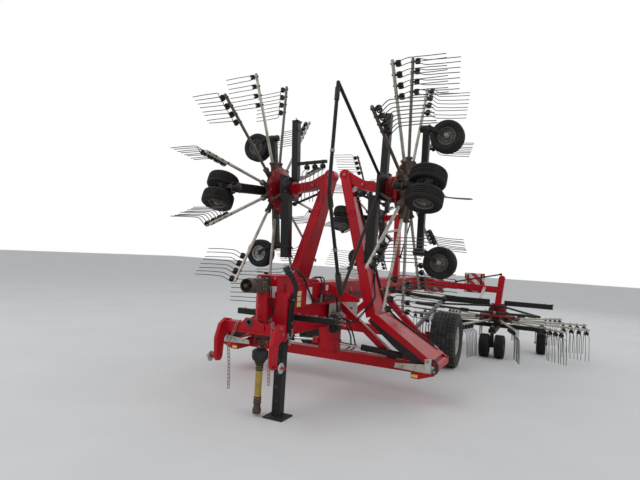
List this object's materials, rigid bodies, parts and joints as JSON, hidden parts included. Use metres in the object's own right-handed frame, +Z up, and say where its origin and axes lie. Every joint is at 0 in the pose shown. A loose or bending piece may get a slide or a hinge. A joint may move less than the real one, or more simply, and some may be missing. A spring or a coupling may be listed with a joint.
{
  "type": "rotary rake",
  "caption": "Trailed rotary rake for hay with folding rotor wings on a wheeled main beam, road folded with one rear rotor lowered to its wheels.",
  "frame": {"origin": "middle of the machine's outline, on the ground", "axes": "+Z up, -Y forward towards the hitch, +X the machine's left side, where one rear rotor is lowered"},
  "size_m": [4.8277, 7.6797, 4.0858],
  "materials": {
    "red": "gloss",
    "black": "satin",
    "galvanised": "matte",
    "casting": "rough",
    "tyre": "matte",
    "pto": "worn",
    "boards": "satin",
    "chrome": "polished"
  },
  "bodies": {
    "frame": {"main_beam": "red", "wing_carrier": "red", "headstock_gearbox": "casting", "cross_bar": "black", "latch_levers": "galvanised", "rear_axle": "red", "warning_boards": "boards"},
    "hitch": {"hitch_yoke": "red"},
    "pto": {"pto_shaft": "pto"},
    "leg": {"parking_leg": "black"},
    "knuckle_left": {"knuckle_left": "black"},
    "knuckle_right": {"knuckle_right": "black"},
    "wheel_left": {"transport_wheel_left": "tyre"},
    "wheel_right": {"transport_wheel_right": "tyre"},
    "front_left_wing": {"front_left_boom": "red", "front_left_gearbox": "red", "front_left_carriage": "black", "front_left_guard": "black"},
    "front_left_rotor": {"front_left_rotor": "galvanised"},
    "front_left_fork_outer": {"front_left_castor_fork_outer": "black"},
    "front_left_castor_outer": {"front_left_castor_wheel_outer": "tyre"},
    "front_left_fork_inner": {"front_left_castor_fork_inner": "black"},
    "front_left_castor_inner": {"front_left_castor_wheel_inner": "tyre"},
    "front_left_twin_fork": {"front_left_twin_fork": "black"},
    "front_left_twin_wheels": {"front_left_twin_wheels": "tyre"},
    "front_left_cylinder_rod": {"front_left_cylinder_rod": "chrome"},
    "front_left_cylinder_barrel": {"front_left_cylinder_barrel": "black"},
    "front_right_wing": {"front_right_boom": "red", "front_right_gearbox": "red", "front_right_carriage": "black"},
    "front_right_rotor": {"front_right_rotor": "galvanised"},
    "front_right_fork_outer": {"front_right_castor_fork_outer": "black"},
    "front_right_castor_outer": {"front_right_castor_wheel_outer": "tyre"},
    "front_right_fork_inner": {"front_right_castor_fork_inner": "black"},
    "front_right_castor_inner": {"front_right_castor_wheel_inner": "tyre"},
    "front_right_twin_fork": {"front_right_twin_fork": "black"},
    "front_right_twin_wheels": {"front_right_twin_wheels": "tyre"},
    "front_right_cylinder_rod": {"front_right_cylinder_rod": "chrome"},
    "front_right_cylinder_barrel": {"front_right_cylinder_barrel": "black"},
    "rear_left_wing": {"rear_left_boom": "red", "rear_left_gearbox": "red", "rear_left_carriage": "black", "rear_left_guard": "black"},
    "rear_left_rotor": {"rear_left_rotor": "galvanised"},
    "rear_left_fork_outer": {"rear_left_castor_fork_outer": "black"},
    "rear_left_castor_outer": {"rear_left_castor_wheel_outer": "tyre"},
    "rear_left_fork_inner": {"rear_left_castor_fork_inner": "black"},
    "rear_left_castor_inner": {"rear_left_castor_wheel_inner": "tyre"},
    "rear_left_twin_fork": {"rear_left_twin_fork": "black"},
    "rear_left_twin_wheels": {"rear_left_twin_wheels": "tyre"},
    "rear_right_wing": {"rear_right_boom": "red", "rear_right_gearbox": "red", "rear_right_carriage": "black"},
    "rear_right_rotor": {"rear_right_rotor": "galvanised"},
    "rear_right_fork_outer": {"rear_right_castor_fork_outer": "black"},
    "rear_right_castor_outer": {"rear_right_castor_wheel_outer": "tyre"},
    "rear_right_fork_inner": {"rear_right_castor_fork_inner": "black"},
    "rear_right_castor_inner": {"rear_right_castor_wheel_inner": "tyre"},
    "rear_right_twin_fork": {"rear_right_twin_fork": "black"},
    "rear_right_twin_wheels": {"rear_right_twin_wheels": "tyre"}
  },
  "joints": [
    {"name": "hitch_swivel", "type": "hinge", "parent": "frame", "child": "hitch", "pos_m": [-0.81881, -3.51285, 0.93], "axis": [0, 0, 1], "range_deg": [-30, 30]},
    {"name": "pto_swing", "type": "hinge", "parent": "hitch", "child": "pto", "pos_m": [-0.81881, -3.50285, 0.74], "axis": [1, 0, 0], "range_deg": [-75, 25]},
    {"name": "leg_slide", "type": "slide", "parent": "frame", "child": "leg", "axis": [0, 0, 1], "range_m": [0, 0.35]},
    {"name": "steer_left", "type": "hinge", "parent": "frame", "child": "knuckle_left", "pos_m": [0.01119, 0.18715, 0.425], "axis": [0, 0, 1], "range_deg": [-18, 18]},
    {"name": "steer_right", "type": "hinge", "parent": "frame", "child": "knuckle_right", "pos_m": [-1.64881, 0.18715, 0.425], "axis": [0, 0, 1], "range_deg": [-18, 18]},
    {"name": "wheel_left_spin", "type": "hinge", "parent": "knuckle_left", "child": "wheel_left", "pos_m": [0.31119, 0.18715, 0.425], "axis": [1, 0, 0], "continuous": true},
    {"name": "wheel_right_spin", "type": "hinge", "parent": "knuckle_right", "child": "wheel_right", "pos_m": [-1.94881, 0.18715, 0.425], "axis": [1, 0, 0], "continuous": true},
    {"name": "front_left_fold", "type": "hinge", "parent": "frame", "child": "front_left_wing", "pos_m": [0.61119, -1.81285, 0.42], "axis": [0, 1, 0], "range_deg": [0, 93]},
    {"name": "front_left_rotor_spin", "type": "hinge", "parent": "front_left_wing", "child": "front_left_rotor", "pos_m": [0.12117, -1.81285, 2.50843], "axis": [-0.9997, 0, 0.0262], "continuous": true},
    {"name": "front_left_swivel_outer", "type": "hinge", "parent": "front_left_wing", "child": "front_left_fork_outer", "pos_m": [0.29187, -1.68602, 3.29696], "axis": [-0.9997, 0, 0.0262], "continuous": true},
    {"name": "front_left_castor_spin_outer", "type": "hinge", "parent": "front_left_fork_outer", "child": "front_left_castor_outer", "pos_m": [0.5539, -1.68602, 3.18006], "axis": [0, 1, 0], "continuous": true},
    {"name": "front_left_swivel_inner", "type": "hinge", "parent": "front_left_wing", "child": "front_left_fork_inner", "pos_m": [0.25117, -1.56091, 1.74251], "axis": [-0.9997, 0, 0.0262], "continuous": true},
    {"name": "front_left_castor_spin_inner", "type": "hinge", "parent": "front_left_fork_inner", "child": "front_left_castor_inner", "pos_m": [0.51319, -1.56091, 1.62562], "axis": [0, 1, 0], "continuous": true},
    {"name": "front_left_twin_swivel", "type": "hinge", "parent": "front_left_wing", "child": "front_left_twin_fork", "pos_m": [0.26943, -2.61526, 2.43996], "axis": [-0.9997, 0, 0.0262], "continuous": true},
    {"name": "front_left_twin_spin", "type": "hinge", "parent": "front_left_twin_fork", "child": "front_left_twin_wheels", "pos_m": [0.53377, -2.56478, 2.41119], "axis": [0.024, 0.3971, 0.9174], "continuous": true},
    {"name": "front_left_cylinder_swing", "type": "hinge", "parent": "frame", "child": "front_left_cylinder_rod", "pos_m": [-0.66381, -1.90285, 0.53], "axis": [0, -1, 0], "range_deg": [0, 14]},
    {"name": "front_left_cylinder_stroke", "type": "slide", "parent": "front_left_cylinder_rod", "child": "front_left_cylinder_barrel", "axis": [0.9985, 0, -0.054], "range_m": [0, 0.41]},
    {"name": "front_right_fold", "type": "hinge", "parent": "frame", "child": "front_right_wing", "pos_m": [-2.24881, -1.81285, 0.42], "axis": [0, -1, 0], "range_deg": [0, 93]},
    {"name": "front_right_rotor_spin", "type": "hinge", "parent": "front_right_wing", "child": "front_right_rotor", "pos_m": [-1.75873, -1.81285, 2.50686], "axis": [0.9986, 0, 0.0523], "continuous": true},
    {"name": "front_right_swivel_outer", "type": "hinge", "parent": "front_right_wing", "child": "front_right_fork_outer", "pos_m": [-1.95001, -1.68602, 3.29065], "axis": [0.9986, 0, 0.0523], "continuous": true},
    {"name": "front_right_castor_spin_outer", "type": "hinge", "parent": "front_right_fork_outer", "child": "front_right_castor_outer", "pos_m": [-2.20889, -1.68602, 3.16693], "axis": [0, 1, 0], "continuous": true},
    {"name": "front_right_swivel_inner", "type": "hinge", "parent": "front_right_wing", "child": "front_right_fork_inner", "pos_m": [-1.86863, -1.56091, 1.7378], "axis": [0.9986, 0, 0.0523], "continuous": true},
    {"name": "front_right_castor_spin_inner", "type": "hinge", "parent": "front_right_fork_inner", "child": "front_right_castor_inner", "pos_m": [-2.12751, -1.56091, 1.61409], "axis": [0, 1, 0], "continuous": true},
    {"name": "front_right_twin_swivel", "type": "hinge", "parent": "front_right_wing", "child": "front_right_twin_fork", "pos_m": [-1.90514, -2.61526, 2.43454], "axis": [0.9986, 0, 0.0523], "continuous": true},
    {"name": "front_right_twin_spin", "type": "hinge", "parent": "front_right_twin_fork", "child": "front_right_twin_wheels", "pos_m": [-2.16864, -2.56478, 2.39886], "axis": [-0.048, 0.3971, 0.9165], "continuous": true},
    {"name": "front_right_cylinder_swing", "type": "hinge", "parent": "frame", "child": "front_right_cylinder_rod", "pos_m": [-0.97381, -1.90285, 0.53], "axis": [0, 1, 0], "range_deg": [0, 14]},
    {"name": "front_right_cylinder_stroke", "type": "slide", "parent": "front_right_cylinder_rod", "child": "front_right_cylinder_barrel", "axis": [-0.9985, 0, -0.054], "range_m": [0, 0.41]},
    {"name": "rear_left_fold", "type": "hinge", "parent": "frame", "child": "rear_left_wing", "pos_m": [-0.44881, 2.28715, 1.2], "axis": [0, -1, 0], "range_deg": [0, 90]},
    {"name": "rear_left_rotor_spin", "type": "hinge", "parent": "rear_left_wing", "child": "rear_left_rotor", "pos_m": [0.86119, 2.28715, 0.62], "axis": [0, 0, 1], "continuous": true},
    {"name": "rear_left_swivel_outer", "type": "hinge", "parent": "rear_left_wing", "child": "rear_left_fork_outer", "pos_m": [1.64119, 2.47715, 0.47], "axis": [0, 0, 1], "continuous": true},
    {"name": "rear_left_castor_spin_outer", "type": "hinge", "parent": "rear_left_fork_outer", "child": "rear_left_castor_outer", "pos_m": [1.64119, 2.58715, 0.205], "axis": [1, 0, 0], "continuous": true},
    {"name": "rear_left_swivel_inner", "type": "hinge", "parent": "rear_left_wing", "child": "rear_left_fork_inner", "pos_m": [0.08119, 2.47715, 0.47], "axis": [0, 0, 1], "continuous": true},
    {"name": "rear_left_castor_spin_inner", "type": "hinge", "parent": "rear_left_fork_inner", "child": "rear_left_castor_inner", "pos_m": [0.08119, 2.58715, 0.205], "axis": [1, 0, 0], "continuous": true},
    {"name": "rear_left_twin_swivel", "type": "hinge", "parent": "rear_left_wing", "child": "rear_left_twin_fork", "pos_m": [0.86119, 1.48215, 0.47], "axis": [0, 0, 1], "continuous": true},
    {"name": "rear_left_twin_spin", "type": "hinge", "parent": "rear_left_twin_fork", "child": "rear_left_twin_wheels", "pos_m": [0.86119, 1.53715, 0.205], "axis": [1, 0, 0], "continuous": true},
    {"name": "rear_right_fold", "type": "hinge", "parent": "frame", "child": "rear_right_wing", "pos_m": [-1.18881, 2.28715, 1.2], "axis": [0, -1, 0], "range_deg": [0, 90]},
    {"name": "rear_right_rotor_spin", "type": "hinge", "parent": "rear_right_wing", "child": "rear_right_rotor", "pos_m": [-1.76881, 2.28715, 2.51], "axis": [1, 0, 0], "continuous": true},
    {"name": "rear_right_swivel_outer", "type": "hinge", "parent": "rear_right_wing", "child": "rear_right_fork_outer", "pos_m": [-1.91881, 2.41398, 3.30273], "axis": [1, 0, 0], "continuous": true},
    {"name": "rear_right_castor_spin_outer", "type": "hinge", "parent": "rear_right_fork_outer", "child": "rear_right_castor_outer", "pos_m": [-2.18381, 2.41398, 3.19272], "axis": [0, 1, 0], "continuous": true},
    {"name": "rear_right_swivel_inner", "type": "hinge", "parent": "rear_right_wing", "child": "rear_right_fork_inner", "pos_m": [-1.91881, 2.53909, 1.74775], "axis": [1, 0, 0], "continuous": true},
    {"name": "rear_right_castor_spin_inner", "type": "hinge", "parent": "rear_right_fork_inner", "child": "rear_right_castor_inner", "pos_m": [-2.18381, 2.53909, 1.63775], "axis": [0, 1, 0], "continuous": true},
    {"name": "rear_right_twin_swivel", "type": "hinge", "parent": "rear_right_wing", "child": "rear_right_twin_fork", "pos_m": [-1.91881, 1.48474, 2.44544], "axis": [1, 0, 0], "continuous": true},
    {"name": "rear_right_twin_spin", "type": "hinge", "parent": "rear_right_twin_fork", "child": "rear_right_twin_wheels", "pos_m": [-2.18381, 1.53522, 2.4236], "axis": [0, 0.3971, 0.9178], "continuous": true}
  ],
  "couplings": [
    {"joint": "front_left_cylinder_swing", "follows": "front_left_fold", "ratio": 0.1376},
    {"joint": "front_left_cylinder_stroke", "follows": "front_left_fold", "m_per_rad": 0.2464},
    {"joint": "front_right_cylinder_swing", "follows": "front_right_fold", "ratio": 0.1376},
    {"joint": "front_right_cylinder_stroke", "follows": "front_right_fold", "m_per_rad": 0.2464},
    {"joint": "steer_left", "follows": "hitch_swivel", "ratio": -0.6},
    {"joint": "steer_right", "follows": "hitch_swivel", "ratio": -0.6}
  ]
}
